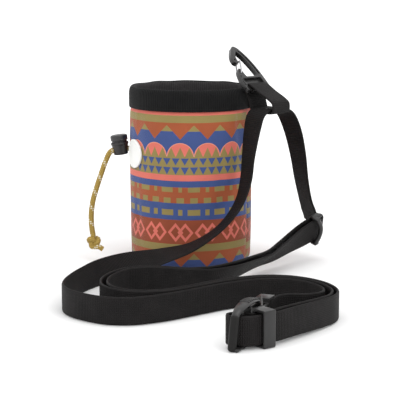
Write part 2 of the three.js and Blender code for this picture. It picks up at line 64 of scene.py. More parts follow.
# %% Selection and units
def put_down():
    if bpy.context.mode != "OBJECT":
        bpy.ops.object.mode_set(mode="OBJECT")
    bpy.ops.object.select_all(action="DESELECT")


def hold(piece):
    put_down()
    piece.select_set(True)
    bpy.context.view_layer.objects.active = piece
    return piece


def mm(*values):
    return Vector(value / 1000 for value in values)


def add_modifier(piece, kind, **settings):
    modifier = piece.modifiers.new(kind.title(), kind)
    for name, value in settings.items():
        setattr(modifier, name, value)
    hold(piece)
    bpy.ops.object.modifier_apply(modifier=modifier.name)


def round_edges(piece, width, segments, sharper_than):
    add_modifier(piece, "BEVEL", width=width, segments=segments, limit_method="ANGLE",
                 angle_limit=math.radians(sharper_than))


# %% [markdown]
# ## Finishing steps
# A rolled-up or extruded mesh is closed and its faces are turned outwards, and every finished piece is smoothed
# and handed to the frame: the body it rides on and the solid that it stands in for.

# %% Closing, smoothing and handing over
SAME_SPOT = 1e-6


def clean(piece, merge=False, fill=False):
    hold(piece)
    bpy.ops.object.mode_set(mode="EDIT")
    bpy.ops.mesh.select_all(action="SELECT")
    if merge:
        bpy.ops.mesh.remove_doubles(threshold=SAME_SPOT)
    if fill:
        bpy.ops.mesh.fill_holes(sides=0)
    bpy.ops.mesh.normals_make_consistent(inside=False)
    bpy.ops.object.mode_set(mode="OBJECT")


def smooth(degrees):
    bpy.ops.object.shade_smooth_by_angle(angle=math.radians(degrees))


def hand_over(piece, node=None, body="pouch"):
    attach(piece, body)
    if node:
        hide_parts(node)
    print(piece.name, len(piece.data.polygons), "faces")


def grid(name, columns, rows):
    put_down()
    bpy.ops.mesh.primitive_grid_add(x_subdivisions=columns, y_subdivisions=rows, size=1)
    bpy.context.object.name = name
    return bpy.context.object


def write_uv(piece, spots):
    uv = piece.data.uv_layers.active.data
    for corner in piece.data.loops:
        uv[corner.index].uv = spots[corner.vertex_index]


# %% [markdown]
# ## Smooth routes
# The belt and the cord follow a few listed places. A centripetal Catmull-Rom curve runs through them
# without loops or overshoot, and it is the curve that the solids were swept on, so both lie in the same space.

# %% A curve through places
def catmull(places, closed=False, centripetal=True):
    places = [Vector(p) for p in places]
    count = len(places)
    spans = count if closed else count - 1

    def at(i):
        if closed:
            return places[i % count]
        if i < 0:
            return 2 * places[0] - places[1]
        return 2 * places[-1] - places[-2] if i >= count else places[i]

    def spot(t):
        t = min(max(t, 0.0), 1.0) * spans
        span = min(int(t), spans - 1)
        t -= span
        a, b, c, d = (at(span + k) for k in (-1, 0, 1, 2))
        if centripetal:
            ab, bc, cd = (max((q - p).length ** 0.5, 1e-6) for p, q in ((a, b), (b, c), (c, d)))
            start = ((b - a) / ab - (c - a) / (ab + bc) + (c - b) / bc) * bc
            end = ((c - b) / bc - (d - b) / (bc + cd) + (d - c) / cd) * bc
        else:
            start, end = (c - a) / 2, (d - b) / 2
        return (b + start * t + (3 * c - 3 * b - 2 * start - end) * t ** 2
                + (2 * b - 2 * c + start + end) * t ** 3)

    return spot, spans


# %% [markdown]
# ## Draw cord
# A braided cord, 4.5 mm thick, leaves the pouch's left side, runs through the lock and hangs down to its knot.
# It is a grid rolled up along the route. The grid keeps its own UV map,
# so that the braid can follow the cord: U runs along it and V runs round it, both in metres.

# %% A tube along a route
def tube(name, line, radius, around=16):
    count = len(line)
    piece = grid(name, count - 1, around)
    lengths = [0.0]
    for a, b in zip(line, line[1:]):
        lengths.append(lengths[-1] + (b - a).length)
    side = Vector((0, 0, 1)).cross(line[1] - line[0])
    if side.length < 1e-6:
        side = Vector((1, 0, 0))
    sides = []
    for i in range(count):
        ahead = (line[min(i + 1, count - 1)] - line[max(i - 1, 0)]).normalized()
        side = (side - ahead * side.dot(ahead)).normalized()
        sides.append((side.copy(), ahead.cross(side)))
    spots = {}
    for vertex in piece.data.vertices:
        i = round((vertex.co.x + 0.5) * (count - 1))
        turn = 2 * math.pi * (vertex.co.y + 0.5)
        spots[vertex.index] = (lengths[i], radius * turn)
        vertex.co = line[i] + radius * (math.cos(turn) * sides[i][0] + math.sin(turn) * sides[i][1])
    write_uv(piece, spots)
    clean(piece, merge=True, fill=True)
    smooth(50)
    return piece, lengths[-1]


CORD_THICK = 0.0045
CORD_ROUTE = [mm(*p) for p in (
    (-51.6, -4.9, 93.1), (-55.1, -5.4, 92.8), (-58.7, -6.0, 92.3), (-62.5, -6.6, 91.8), (-65.7, -7.1, 91.2),
    (-68.2, -7.8, 88.8), (-69.9, -8.6, 85.2), (-71.6, -9.5, 81.2), (-73.4, -10.6, 76.0), (-75.3, -11.8, 70.6),
    (-77.0, -13.0, 65.4), (-78.7, -14.0, 60.2), (-80.2, -15.0, 55.2), (-81.5, -15.6, 50.0), (-82.4, -16.0, 44.6),
    (-82.9, -16.0, 39.2), (-83.0, -16.0, 33.8), (-82.7, -16.0, 28.6), (-82.2, -16.0, 24.6), (-81.7, -16.0, 21.7))]


def sampled(places, steps):
    curve, _ = catmull(places)
    return [curve(i / steps) for i in range(steps + 1)]


cord_line = sampled(CORD_ROUTE, 114)
draw_cord, cord_length = tube("draw_cord_braid", cord_line, CORD_THICK / 2)
hand_over(draw_cord, "draw_cord")
print(f"cord {1000 * cord_length:.1f} mm long")

# %% [markdown]
# ## Knot
# The cord ends in an overhand knot pulled tight. A trefoil is an overhand knot with its ends joined,
# so one lobe of that curve is opened: one end goes up into the cord and the other is the short tail.

# %% Knot on the cord's end
KNOT_AT = mm(-81.2, -16.0, 15.5)


def trefoil(turn):
    x = math.sin(turn) + 2 * math.sin(2 * turn)
    y = math.cos(turn) - 2 * math.cos(2 * turn)
    return KNOT_AT + mm(1.42 * x, -1.9 * math.sin(3 * turn), 1.42 * y)


knot_places = [mm(-81.7, -16.0, 21.9), mm(-81.6, -16.4, 20.6)]
knot_places += [trefoil(math.radians(a)) for a in range(190, 190 + 331, 15)]
knot_places += [KNOT_AT + mm(4.2, -2.4, -3.6), KNOT_AT + mm(7.6, -2.0, -5.6)]
knot, knot_length = tube("cord_knot_overhand", sampled(knot_places, 160), 0.00215, around=14)
hand_over(knot, "cord_knot")
print(f"knot takes {1000 * knot_length:.0f} mm of cord")

# %% [markdown]
# ## Webbing strips
# The belt is a flat woven strap, 20 mm wide. A grid of quads is laid along its route, row by row:
# each row has a place and the direction of the strap's width there. Its section, a flat bar with round edges,
# is wrapped round every row. The UV map is in metres, so that the weave keeps one size everywhere.

# %% Rows into a strip
WEB_WIDTH = 20.0
WEB_THICK = 1.8


def width_of(lean, turn):
    lean, turn = math.radians(lean), math.radians(turn)
    return Vector((math.sin(lean) * math.cos(turn), math.sin(lean) * math.sin(turn), math.cos(lean)))


def stations_of(rows, closed=False, step=3.0):
    # A row is x, y, z, lean, turn and apart, in millimetres and degrees
    route, spans = catmull([row[:3] for row in rows], closed)
    across, _ = catmull([width_of(row[3], row[4]) for row in rows], closed, centripetal=False)
    parts = []
    for span in range(spans):
        length = (Vector(rows[(span + 1) % len(rows)][:3]) - Vector(rows[span][:3])).length
        pieces = max(2, math.ceil(length / step))
        parts += [(span + k / pieces) / spans for k in range(pieces)]
    if not closed:
        parts.append(1.0)
    stations = []
    for t in parts:
        low, high = t - 1e-4, t + 1e-4
        forward = (route(high % 1 if closed else high) - route(low % 1 if closed else low)).normalized()
        width = across(t)
        width = (width - forward * width.dot(forward)).normalized()
        row = min(int(t * spans), spans - 1)
        near, far = rows[row][5], rows[(row + 1) % len(rows)][5]
        apart = near + (far - near) * (t * spans - row)
        stations.append((route(t), width, forward.cross(width), forward, apart))
    return stations


# %% The strap's section
def web_section():
    # Round the strap once: across its front, round one edge, back and round the other
    half, thick = WEB_WIDTH / 2, WEB_THICK / 2
    flat = [half * k / 10 for k in range(-9, 10)]
    edge = [(half - 0.25, 0.75 * thick), (half, 0.3 * thick), (half, -0.3 * thick), (half - 0.25, -0.75 * thick)]
    ring = [(x, thick) for x in flat] + edge + [(x, -thick) for x in reversed(flat)]
    ring += [(-x, -out) for x, out in edge]
    return ring + ring[:1]


# %% A strip becomes webbing
def webbing(name, node, stations, closed=False):
    rows = stations + stations[:1] if closed else stations
    count, section = len(rows), web_section()
    piece = grid(name, count - 1, len(section) - 1)
    lengths = [0.0]
    for a, b in zip(rows, rows[1:]):
        lengths.append(lengths[-1] + (b[0] - a[0]).length)
    spots = {}
    for vertex in piece.data.vertices:
        i = round((vertex.co.x + 0.5) * (count - 1))
        across, out = section[round((vertex.co.y + 0.5) * (len(section) - 1))]
        place, width, face = rows[i][:3]
        spots[vertex.index] = (lengths[i] / 1000, across / 1000)
        vertex.co = (place + width * across + face * out) / 1000
    write_uv(piece, spots)
    clean(piece, merge=True, fill=True)
    smooth(50)
    hand_over(piece, node)
    print(f"{name}: {lengths[-1]:.0f} mm of webbing")
    return piece


# %% [markdown]
# ## Belt, left arm
# From the hook's tab the strap drops over the pouch's front, rolls onto its edge on the floor,
# loops round and ends folded through the buckle's rear half.

# %% Left arm
BUCKLE_AT = Vector((30, -298, 0))
HEADING = math.radians(67.5)
# Height of the strap's middle line, in the buckle and where it stands on the floor
BUCKLE_MIDDLE, EDGE_MIDDLE = 12.5, 10.2


def by_buckle(along, across):
    x = BUCKLE_AT.x + along * math.cos(HEADING) - across * math.sin(HEADING)
    y = BUCKLE_AT.y + along * math.sin(HEADING) + across * math.cos(HEADING)
    return (x, y, BUCKLE_MIDDLE, 0, 90, 0)


def on_edge(*places):
    return [(x, y, EDGE_MIDDLE, 0, 90, 0) for x, y in places]


LEFT_ARM = [
    (63.95, -34.75, 129, 90, 134, 0), (57, -41.4, 129, 90, 134, 0), (52.6, -44.2, 125, 90, 132, 0),
    (49.6, -46, 113.5, 93, 128, 0), (46.6, -47.6, 92, 95, 118, 0), (44.6, -50.4, 73, 94, 114, 0),
    (41, -54, 59.8, 97, 110, 0), (34.4, -58.6, 48, 98, 109, 0), (22.2, -63.6, 35, 95, 105, 0),
    (0.8, -68, 21.8, 84, 103, 0), (-22.4, -72, 15.4, 66, 106, 0), (-46, -83, 12.2, 42, 118, 0),
    (-69, -109, 10.6, 14, 140, 0),
    *on_edge((-81, -134), (-87, -155), (-90.5, -176), (-90, -192), (-84, -207), (-71, -221), (-55, -230.5),
             (-38, -231), (-17, -221), (2, -206), (24, -188), (44, -176), (58, -172), (71, -173.5),
             (83, -181), (91.5, -193)),
    (94.5, -208, 10.4, 0, 90, 0), (90, -220.5, 11.2, 0, 90, 0), (79, -228.5, 12, 0, 90, 0), (68, -230, 12.5, 0, 90, 0),
    by_buckle(69, -3.9), by_buckle(62.5, -3.4), by_buckle(57, -3.2), by_buckle(54.9, -1.6),
    by_buckle(54.9, 1.6), by_buckle(57, 3.2), by_buckle(62.5, 3.4), by_buckle(69, 2.8)]
left_arm = webbing("belt_left_arm", "belt_strap_left", stations_of(LEFT_ARM))

# %% [markdown]
# ## Belt, right arm
# A short stretch from the tab down the pouch's right side. It turns slowly as it falls
# and ends behind the doubled strap, next to the slider.

# %% Right arm
RIGHT_ARM = [
    (64.25, -34.45, 129, 90, 134, 0), (71.2, -27.8, 129, 90, 134, 0), (77.6, -21.4, 124, 93, 133, 0),
    (83.6, -17.4, 110.6, 95, 132, 0), (88.5, -14.2, 90.4, 96, 126, 0), (92.1, -11.4, 67.4, 96, 119, 0),
    (95.7, -8.2, 51, 94, 116, 0), (98.8, -4.2, 41.6, 94, 118, 0), (100.5, -0.6, 35.5, 94, 119, 0),
    (101.5, 2, 29, 94, 114, 0)]
right_arm = webbing("belt_right_arm", "belt_strap_right", stations_of(RIGHT_ARM))

# %% [markdown]
# ## Belt, doubled stretch
# From the slider the belt runs double: out to the buckle's front bars and back beside itself,
# so that pulling the slider changes its length. The second layer is the first one moved out by the space
# between them, and a half turn round the slider's bar closes the ring. The slider squeezes that end,
# so the strap is narrowed a little there.

# %% Doubled stretch
DOUBLED = [
    (109.6, -13.9, 29.3, 20, -78, 5), (96, -28, 24.4, 20, -78, 5), (83, -42, 19.6, 30, -63, 4.4),
    (71, -58, 15.4, 38, -48, 4), (58, -78, 12.8, 52, -35, 4), (45, -101, 12.4, 47, -33, 4),
    (32, -123, 12, 38, -42, 4), (17, -137, 10.6, 20, -68, 4)]
DOUBLED += [(x, y, EDGE_MIDDLE, 0, 90, apart) for x, y, apart in (
    (-1, -140.5, 4), (-18, -135.5, 4), (-33, -133.5, 4), (-46, -140, 4), (-55, -155, 4.6), (-59, -172, 5),
    (-58, -188, 4.8), (-51, -201, 4.4), (-38, -209, 4), (-19, -207, 4), (-1, -195, 4), (20, -177.5, 4),
    (42, -165, 4), (58, -161, 4), (75, -164, 4), (90, -174.5, 4), (100.5, -190.5, 4), (104.3, -209, 4))]
DOUBLED += [
    (101, -224, 10.4, 0, 90, 4), (93.5, -237, 11, 0, 90, 4.2), (83, -251.5, 11.8, 0, 90, 5),
    (70.5, -267, 12.5, 0, 90, 6), (59, -279.5, 12.5, 0, 90, 6.5), (52.3, -284.7, 12.5, 0, 90, 6.6)]
BUCKLE_TURN = [by_buckle(*spot) for spot in (
    (13.7, -11.5), (8.8, -7.2), (5.9, -1.8), (5.2, 3.4), (6.6, 7.6),
    (10.6, 9.4), (14.8, 7.2), (16.6, 2.6), (16.6, -2.2), (17.3, -5.9))]

front = stations_of(DOUBLED + BUCKLE_TURN)
turn_length = len(stations_of(DOUBLED))
back = [(place + face * apart, width, -face, forward, 0)
        for place, width, face, forward, apart in front[:turn_length]]
place, width, face, forward, apart = front[0]
slider_turn = []
for angle in range(18, 180, 18):
    out = face * math.cos(math.radians(angle)) - forward * math.sin(math.radians(angle))
    slider_turn.append((place + face * (apart / 2) + out * (apart / 2), width, -out, forward, 0))
SQUEEZE_REACH, SQUEEZE_SHIFT, SQUEEZE_NARROW = 9.0, 2.2, 0.34
round_trip = []
for spot, across, out, _, _ in front + back[::-1] + slider_turn:
    squeeze = max(0.0, 1 - (spot - place).length / SQUEEZE_REACH) ** 2
    spot = spot + forward * (SQUEEZE_SHIFT * squeeze)
    round_trip.append((spot, across * (1 - SQUEEZE_NARROW * squeeze), out))
doubled = webbing("belt_doubled", "belt_strap_doubled", round_trip, closed=True)

# %% [markdown]
# ## Hook tab
# A short strip of the same webbing is sewn into a loop: round the hook's lower bar at the back
# and round the belt at the front. Its section is drawn as a closed line and the strip is laid on it.

# %% Hook tab
WRAP_AT = Vector((64.1, -34.6, 129))
TAB_LOOP = [(-11.6, -1.6), (-12.4, 1.4), (-11.8, 5.4), (-7.6, 8.4), (3, 13.6), (11.2, 18.2), (15.4, 19.4),
            (18.4, 16.6), (17.6, 12.4), (14.4, 6.6), (12.6, 1.2), (11, -1.9), (6, -2.4), (-6, -2.4)]
to_hook = width_of(90, 134)
tab_rows = []
for away, up in TAB_LOOP:
    spot = WRAP_AT + to_hook * away + Vector((0, 0, up))
    tab_rows.append((spot.x, spot.y, spot.z, 90, 44, 0))
hook_tab = webbing("hook_tab", "carabiner_tab", stations_of(tab_rows, closed=True, step=2.0), closed=True)

# %% [markdown]
# ## Pouch wall
# The wall is one panel of printed cloth, rolled into a tube and turned in at the neck and at the base.
# A real one is never quite round: it sags a little, puckers under the collar, pulls in along its side seams
# and has a few soft upright folds.
# A grid is rolled up, and each point is moved in or out by these small amounts.
# Solidify gives the cloth its thickness, with the dark lining on the inside.

# %% The wall's shape
WALL_RADIUS, POUCH_TOP = 51.2, 143.1


def soft_step(x, low, high):
    t = min(max((x - low) / (high - low), 0.0), 1.0)
    return t * t * (3 - 2 * t)


def round_the_pouch(radius, azimuth, height):
    return mm(radius * math.sin(azimuth), -radius * math.cos(azimuth), height)


def sag(azimuth, height):
    slack = math.sin(math.pi * min(max(height / POUCH_TOP, 0.0), 1.0))
    return 0.25 * math.cos(2 * azimuth + 0.6) + 0.35 * math.sin(5 * azimuth + height / 26) * slack


SEAMS = (math.radians(66), math.radians(66 - 180))
# Upright folds: degrees round the wall, height of the middle, depth
FOLDS = [(-32, 52, 1.1), (-14, 34, 0.6), (9, 58, 0.7), (31, 62, 1.2), (-58, 40, 0.8), (52, 104, 0.9), (24, 112, 0.6),
         (118, 60, 1.0), (160, 45, 0.9), (-150, 66, 1.0), (-105, 50, 0.8)]


def crease(azimuth, height):
    near_top = soft_step(height, 96, 126) * (1 - soft_step(height, 126, 128))
    east, north = math.sin(azimuth), math.cos(azimuth)
    pucker = 0.7 * noise.noise(Vector((9 * east, 9 * north, height / 26)))
    dent = 0.42 * noise.noise(Vector((1.7 * east, 1.7 * north, 7 + height / 40)))
    pull = 0.0
    for seam in SEAMS:
        away = (azimuth - seam + math.pi) % (2 * math.pi) - math.pi
        pull += 0.5 * math.exp(-(away * WALL_RADIUS / 1.6) ** 2)
    for middle, level, depth in FOLDS:
        away = (azimuth - math.radians(middle) + math.pi) % (2 * math.pi) - math.pi
        away = away * WALL_RADIUS + 0.12 * (height - level)
        pull += depth * math.exp(-(away / 4.5) ** 2 - ((height - level) / 24) ** 2)
    return near_top * pucker + dent - pull - 0.25


WALL = [(46.4, 0.25), (48.2, 0.7), (49.6, 2.0), (50.3, 4.2), (50.6, 8.0), (50.8, 14.0)]
WALL += [(WALL_RADIUS - 0.9 * max(0, 1 - z / 32) ** 2, z) for z in range(20, 124, 4)]
WALL += [(51.1, 124.4), (50.8, 125.8), (50.0, 127.0), (49.7, 128.4), (49.7, 134.0), (49.7, 142.8)]

# %% Pouch wall
AROUND = 240
wall = grid("pouch_wall", AROUND, len(WALL) - 1)
for vertex in wall.data.vertices:
    azimuth = 2 * math.pi * vertex.co.x
    radius, height = WALL[round((vertex.co.y + 0.5) * (len(WALL) - 1))]
    reach = soft_step(height, 0, 10)
    radius += reach * (sag(azimuth, height) + crease(azimuth, height))
    vertex.co = round_the_pouch(radius, azimuth, height)
clean(wall, merge=True)
print("pouch wall", len(wall.data.polygons), "faces")

# %% [markdown]
# ## Base panel
# The bottom is a round panel of plain dark cloth, sewn in with a turned edge.
# It starts as a disc: two insets give it rings to shape, and the middle is lifted a little off the floor.

# %% Base panel
put_down()
bpy.ops.mesh.primitive_circle_add(vertices=96, radius=0.0472, fill_type="NGON", location=(0, 0, 0.0009))
base = bpy.context.object
base.name = "pouch_base"
bpy.ops.object.transform_apply(location=True, rotation=True, scale=True)
bpy.ops.object.mode_set(mode="EDIT")
bpy.ops.mesh.select_all(action="SELECT")
bpy.ops.mesh.inset(thickness=0.0022)
bpy.ops.transform.translate(value=(0, 0, 0.0006))
bpy.ops.mesh.inset(thickness=0.012)
bpy.ops.mesh.inset(thickness=0.016)
clean(base)
add_modifier(base, "SOLIDIFY", thickness=0.0014, offset=0)
add_modifier(base, "SUBSURF", levels=1, render_levels=1)
smooth(40)
hand_over(base)

# %% [markdown]
# ## Rim collar
# A band of ribbed elastic cloth is folded over the pouch's top edge and sewn down on both sides.
# It is rolled from a grid, as the wall is, on a profile that goes up outside, over the fold and down inside.
# The fold isn't even: its crest rises and dips by a fraction of a millimetre, as sewn elastic does.

# %% Rim collar
COLLAR = [(51.0, 127.7), (51.5, 127.9), (51.75, 128.6), (51.8, 130.5), (51.75, 133.5), (51.8, 136.5), (51.75, 139.5),
          (51.5, 141.8), (50.9, 143.7), (49.9, 144.9), (48.8, 145.3), (47.7, 144.9), (46.8, 143.7), (46.3, 141.8),
          (46.1, 139.0), (46.1, 135.0), (46.1, 131.0), (46.2, 128.6)]
collar = grid("rim_collar_cloth", AROUND, len(COLLAR) - 1)
for vertex in collar.data.vertices:
    azimuth = 2 * math.pi * vertex.co.x
    radius, height = COLLAR[round((vertex.co.y + 0.5) * (len(COLLAR) - 1))]
    radius += sag(azimuth, height)
    ripple = noise.noise(Vector((2.5 * math.sin(azimuth), 2.5 * math.cos(azimuth), 4.0)))
    height += 0.7 * ripple * soft_step(height, 130, 145)
    vertex.co = round_the_pouch(radius, azimuth, height)
clean(collar, merge=True)
add_modifier(collar, "SOLIDIFY", thickness=0.0013, offset=-1)
add_modifier(collar, "SUBSURF", levels=1, render_levels=1)
bpy.ops.object.shade_smooth()
hand_over(collar, "rim_collar")

# %% [markdown]
# ## Hang loop
# A short tape stands on the collar's right side, sewn down at its two ends, so it bows out in the middle.

# %% Hang loop
TAPE_WIDE, TAPE_TALL = 14.0, 16.2
loop = grid("hang_loop_tape", 14, 20)
tape_uv = {}
for vertex in loop.data.vertices:
    across, up = TAPE_WIDE * vertex.co.x, TAPE_TALL * (vertex.co.y + 0.5)
    tape_uv[vertex.index] = (up / 1000, across / 1000)
    height = 128.0 + up
    azimuth = math.radians(77) + across / 52.0
    radius = 52.6 + sag(azimuth, height) + 0.75 * math.sin(math.pi * up / TAPE_TALL)
    vertex.co = round_the_pouch(radius, azimuth, height)
write_uv(loop, tape_uv)
add_modifier(loop, "SOLIDIFY", thickness=0.0015, offset=0)
round_edges(loop, 0.0004, 2, 60)
smooth(40)
hand_over(loop, "hang_loop")

# %% Finish the wall's cloth
wall.data.materials.append(bpy.data.materials.new("printed cloth"))
wall.data.materials.append(bpy.data.materials.new("dark lining"))
add_modifier(wall, "SOLIDIFY", thickness=0.0014, offset=-1, material_offset=1, material_offset_rim=1)
add_modifier(wall, "SUBSURF", levels=1, render_levels=1)
bpy.ops.object.shade_smooth()
hand_over(wall, "pouch_body")

# %% [markdown]
# ## Cord lock
# The lock is two turned mouldings: a tapering barrel with the cord's hole through it, and a spring button on top.
# A turned piece is made as on paper: a circle is drawn, then extruded and scaled ring by ring up its profile.
# They are made upright at the origin and then laid in the lock's place, so that the button slides along its own axis.

# %% A turned piece
def turned(name, profile):
    (radius, height), *rings = profile
    put_down()
    bpy.ops.mesh.primitive_circle_add(vertices=48, radius=radius / 1000, location=(0, 0, height / 1000))
    piece = bpy.context.object
    piece.name = name
    bpy.ops.object.transform_apply(location=True, rotation=True, scale=True)
    bpy.ops.object.mode_set(mode="EDIT")
    bpy.ops.mesh.select_all(action="SELECT")
    for wide, high in rings:
        bpy.ops.mesh.extrude_edges_move(TRANSFORM_OT_translate={"value": (0, 0, (high - height) / 1000)})
        bpy.ops.transform.resize(value=(wide / radius, wide / radius, 1), center_override=(0, 0, high / 1000))
        radius, height = wide, high
    clean(piece, fill=True)
    return piece


def lay(piece, place):
    hold(piece)
    piece.matrix_world = place
    bpy.ops.object.transform_apply(location=True, rotation=True, scale=True)
    return piece


def cut_away(piece, tool):
    add_modifier(piece, "BOOLEAN", operation="DIFFERENCE", object=tool, solver="EXACT")
    bpy.data.objects.remove(tool)


LOCK_PLACE = (Matrix.Translation(mm(-58.7, -6.0, 92.3)) @ Matrix.Rotation(math.radians(-7), 4, "Y")
              @ Matrix.Rotation(math.radians(9), 4, "Z"))

# %% Lock barrel
barrel = turned("cord_lock_shell", [
    (5.2, -4.2), (5.7, -4.05), (6.0, -3.5), (6.35, 0.0), (6.8, 3.6), (6.85, 4.0), (7.2, 4.2), (7.35, 4.6),
    (7.35, 5.5), (7.2, 6.0), (7.0, 6.2), (6.7, 6.2), (6.5, 6.0), (6.5, 3.5), (5.0, 3.3), (5.0, -2.6)])
put_down()
bpy.ops.mesh.primitive_cylinder_add(vertices=32, radius=0.00262, depth=0.03, rotation=(0, math.pi / 2, 0))
cut_away(barrel, bpy.context.object)
round_edges(barrel, 0.00025, 2, 50)
lay(barrel, LOCK_PLACE)
smooth(35)
hand_over(barrel, "cord_lock_barrel")

# %% Lock button
button = turned("cord_lock_cap", [
    (6.0, 5.2), (6.25, 5.4), (6.25, 7.5), (6.6, 7.6), (7.0, 7.8), (7.1, 8.2), (7.1, 11.0), (6.95, 11.6),
    (6.5, 12.05), (5.6, 12.35), (4.0, 12.55), (1.8, 12.65)])
round_edges(button, 0.0002, 2, 50)
lay(button, LOCK_PLACE)
smooth(35)
hand_over(button, "cord_lock_button", "button")

# %% [markdown]
# ## Snap hook
# The hook is one flat moulding: a wide foot with a slot for the tab, a curved spine and a nose.
# Its outline is a ring of points laid on the drawn line. Solidify makes the plate, booleans cut the slot,
# the spine's channels and the gate's hole, and one bevel rounds every edge, as a mould does.
# A thin web stays behind the upper part of the slot, so that the tab bears on solid plastic.

# %% A plate from an outline
def drawn(start, *strokes):
    # A stroke is one point (a line), two (a quadratic) or three (a cubic), ending at its last point
    line = [Vector(start)]
    for stroke in strokes:
        knots = [line[-1]] + [Vector(p) for p in stroke]
        parts = 1 if len(knots) == 2 else 10
        for k in range(1, parts + 1):
            level = knots
            while len(level) > 1:
                level = [a.lerp(b, k / parts) for a, b in zip(level, level[1:])]
            line.append(level[0])
    return line[:-1] if (line[-1] - line[0]).length < 1e-6 else line


def plate(name, line, thick, height=0.0):
    put_down()
    bpy.ops.mesh.primitive_circle_add(vertices=len(line), radius=0.01, fill_type="NGON")
    piece = bpy.context.object
    piece.name = name
    for vertex, spot in zip(piece.data.vertices, line):
        vertex.co = mm(spot.x, spot.y, height)
    clean(piece)
    add_modifier(piece, "SOLIDIFY", thickness=thick / 1000, offset=0)
    return piece


HOOK_PLACE = Matrix.Translation(mm(51.2, -21.2, 148.7)) @ Matrix.Rotation(math.radians(44), 4, "Z") \
    @ Matrix.Rotation(math.radians(42.3), 4, "X")
HOOK_LINE = drawn(
    (-10.5, -8.6), [(10.5, -8.6)], [(13.6, -8.6), (13.7, -5)], [(14.4, 12), (14, 24), (8.8, 36)],
    [(6.6, 40.6), (3.4, 41), (1.2, 38.2)], [(-3, 33), (-6.4, 29), (-6.4, 24.6)], [(-6.2, 21.8), (-4.4, 21.4)],
    [(-2.4, 21.2), (-1.8, 23.8)], [(-1.8, 28), (0.8, 32), (3.6, 34)], [(6.2, 33), (9.2, 22), (9.6, 10)],
    [(9.6, 6.2), (6.6, 6.2)], [(-4.2, 6.2)], [(-5, 8), (-5, 13.4)], [(-5.8, 16), (-7.6, 15.2)],
    [(-10.6, 12.6), (-13.4, 4), (-13.7, -5)], [(-13.6, -8.6), (-10.5, -8.6)])
CHANNEL_LINE = drawn(
    (10.7, 8.0), [(12.4, 8.0)], [(12.5, 16), (11.7, 25), (7.7, 34.2)], [(6.9, 35.6), (5.6, 35.2)],
    [(9.2, 27), (10.6, 18), (10.7, 8.0)])
POCKET_LINE = drawn((-12.5, -3.4), [(-11.5, -3.4)], [(-11.5, 4.6)], [(-11.4, 6.0), (-9.5, 7.2)], [(-10.2, 8.0)],
                    [(-11.8, 6.4), (-12.5, 2), (-12.5, -3.4)])

# %% Snap hook
def weld_slivers(piece):
    hold(piece)
    bpy.ops.object.mode_set(mode="EDIT")
    bpy.ops.mesh.select_all(action="SELECT")
    bpy.ops.mesh.dissolve_degenerate(threshold=2e-5)
    bpy.ops.object.mode_set(mode="OBJECT")


def slot_cut(piece, middle, size):
    put_down()
    bpy.ops.mesh.primitive_cube_add(size=1, location=mm(*middle), scale=mm(*size))
    cut_away(piece, bpy.context.object)


def drill(piece, radius, depth, middle):
    put_down()
    bpy.ops.mesh.primitive_cylinder_add(vertices=20, radius=radius, depth=depth, location=mm(*middle))
    cut_away(piece, bpy.context.object)


PLATE_THICK = 4.0
hook = plate("snap_hook", HOOK_LINE, PLATE_THICK)
slot_cut(hook, (0, -1.85, 0), (20.8, 5.1, 12))
slot_cut(hook, (0, 1.8, 3.0), (20.8, 5.2, 8))
for face in (-PLATE_THICK / 2, PLATE_THICK / 2):
    cut_away(hook, plate("channel", CHANNEL_LINE, 2.4, face))
    cut_away(hook, plate("pocket", POCKET_LINE, 2.0, face))
    drill(hook, 0.0009, 0.0012, (-4.2, 25.2, face))
drill(hook, 0.00095, 0.012, (-8, 10.4, 0))
round_edges(hook, 0.00042, 3, 50)
weld_slivers(hook)
lay(hook, HOOK_PLACE)
smooth(35)
hand_over(hook, "carabiner_body")

# %% [markdown]
# ## Wire gate
# The gate is one bent steel wire: a pin through the hook, two legs and a bar that shuts against the nose.
# The same tube as the cord's is run round its corners, each of them eased by two places.
# Its two cut ends meet inside the hook, a hair apart.

# %% Wire gate
pivot, tip = Vector((-8, 10.4, 0)), Vector((-1.0, 23.0, 0))
leg = (tip - pivot).normalized()
side = Vector((0, 0, 3.0))
ease = Vector((0, 0, 1.0))
gate_places = [pivot + 0.1 * ease, pivot + side - ease, pivot + side + 0.35 * (leg - ease), pivot + side + leg]
gate_places += [tip + side - leg, tip + side - 0.35 * (leg + ease), tip + side - ease]
gate_places += [tip - side + ease, tip - side - 0.35 * (leg - ease), tip - side - leg]
gate_places += [pivot - side + leg, pivot - side + 0.35 * (leg + ease), pivot - side + ease, pivot - 0.1 * ease]
gate_line = sampled([p / 1000 for p in gate_places], 120)
gate, gate_length = tube("wire_gate", gate_line, 0.0006, around=12)
lay(gate, HOOK_PLACE)
hand_over(gate, "carabiner_gate", "gate")
print(f"gate wire {1000 * gate_length:.0f} mm")

# %% [markdown]
# ## Round patch
# A bare white disc is stuck on the pouch's left side, with a low raised rim.
# It starts as a flat disc that is inset and lifted ring by ring, and it is then wrapped round the wall.

